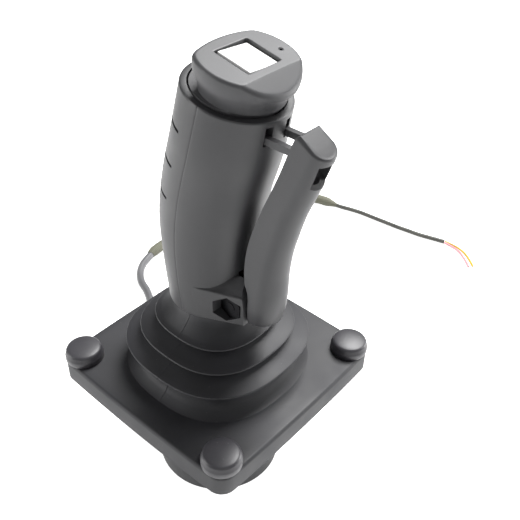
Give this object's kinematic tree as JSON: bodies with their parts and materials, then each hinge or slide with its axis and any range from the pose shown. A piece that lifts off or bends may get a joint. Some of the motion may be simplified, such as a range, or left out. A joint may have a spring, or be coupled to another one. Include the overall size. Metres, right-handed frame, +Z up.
{
  "type": "industrial joystick",
  "caption": "Panel-mounted two-axis joystick with a full-hand grip, a hold-to-run lever along its front, a thumb rocker on its slanted top, a rubber bellows and a trailing cable.",
  "frame": {"origin": "middle of the four mounting holes, on the panel surface under the flange", "axes": "+Z up along the stick, away from the panel; +Y forward, towards the lever side; +X to the hex pocket side"},
  "size_m": [0.2974, 0.2063, 0.2246],
  "materials": {
    "zinc_plated_steel": "satin",
    "gate_steel": "satin",
    "screw_steel": "polished",
    "boot_rubber": "matt, finely textured",
    "cap_rubber": "matt",
    "housing_plastic": "matt",
    "circuit_board": "semi-gloss lacquer",
    "connector_plastic": "satin",
    "chip_plastic": "matt",
    "cable_jacket": "satin",
    "woven_sleeve": "woven",
    "tape": "satin",
    "yellow_insulation": "gloss",
    "pink_insulation": "gloss",
    "harness_insulation": "satin",
    "spring_steel": "bright drawn",
    "cast_alloy": "machined",
    "bush_bronze": "machined",
    "ground_steel": "ground",
    "holder_plastic": "satin",
    "magnet_nickel": "plated",
    "grip_plastic": "finely textured",
    "cap_plastic": "finely textured",
    "lever_plastic": "finely textured",
    "rocker_body": "satin",
    "rocker_white": "gloss",
    "plunger_red": "satin"
  },
  "bodies": {
    "base": {"mounting_plate": "zinc_plated_steel", "gate_plate": "gate_steel", "plate_screws": "screw_steel", "boot_flange": "boot_rubber", "bellows": "boot_rubber", "screw_caps": "cap_rubber", "gimbal_housing": "housing_plastic", "outer_pivot_pins": "ground_steel", "bottom_cover": "housing_plastic", "cover_screws": "screw_steel", "sensor_board": "circuit_board", "board_screws": "screw_steel", "hall_sensors": "chip_plastic", "board_connector": "connector_plastic", "cable_relief": "cable_jacket", "inner_lead": "cable_jacket", "cable": "cable_jacket", "cable_sleeve": "woven_sleeve", "taped_lead": "tape", "yellow_wire": "yellow_insulation", "pink_wire": "pink_insulation", "forward_spring": "spring_steel"},
    "ring": {"gimbal_ring": "cast_alloy", "outer_bushes": "bush_bronze", "inner_bushes": "bush_bronze"},
    "stick": {"gimbal_hub": "cast_alloy", "inner_pivot_pin": "ground_steel", "side_spring": "spring_steel", "shaft": "ground_steel", "magnet_holder": "holder_plastic", "magnet": "magnet_nickel", "neck_collar": "cap_plastic", "grip_front_shell": "grip_plastic", "grip_rear_shell": "grip_plastic", "shell_screws": "screw_steel", "grip_harness": "harness_insulation", "grip_cap": "cap_plastic", "cap_screw": "screw_steel", "rocker_frame": "rocker_body", "rocker_pin": "ground_steel", "pivot_bolt": "screw_steel", "pivot_nut": "screw_steel", "lever_spring": "spring_steel", "microswitch": "chip_plastic"},
    "lever": {"trigger_lever": "lever_plastic"},
    "rocker": {"rocker_paddle": "rocker_white"},
    "plunger": {"switch_plunger": "plunger_red"}
  },
  "joints": [
    {"name": "forward_tilt", "type": "hinge", "parent": "base", "child": "ring", "pos_m": [0, 0, -0.01], "axis": [1, 0, 0], "range_deg": [-20, 20], "stiffness_Nm_per_rad": 2.2, "deforming": ["bellows", "forward_spring"]},
    {"name": "side_tilt", "type": "hinge", "parent": "ring", "child": "stick", "pos_m": [0, 0, -0.01], "axis": [0, 1, 0], "range_deg": [-20, 20], "stiffness_Nm_per_rad": 2.2, "deforming": ["bellows", "side_spring"]},
    {"name": "lever_squeeze", "type": "hinge", "parent": "stick", "child": "lever", "pos_m": [0, 0.0186, 0.0586], "axis": [1, 0, 0], "range_deg": [0, 6], "stiffness_Nm_per_rad": 0.8, "springref_deg": -14.32, "deforming": ["lever_spring"]},
    {"name": "rocker_tip", "type": "hinge", "parent": "stick", "child": "rocker", "pos_m": [0, 0.01473, 0.15878], "axis": [0, 0.9796, -0.2011], "range_deg": [0, 14]},
    {"name": "plunger_slide", "type": "slide", "parent": "stick", "child": "plunger", "axis": [0, -1, 0], "range_m": [0, 0.001]}
  ],
  "couplings": [
    {"joint": "plunger_slide", "follows": "lever_squeeze", "m_per_rad": 0.0094}
  ]
}
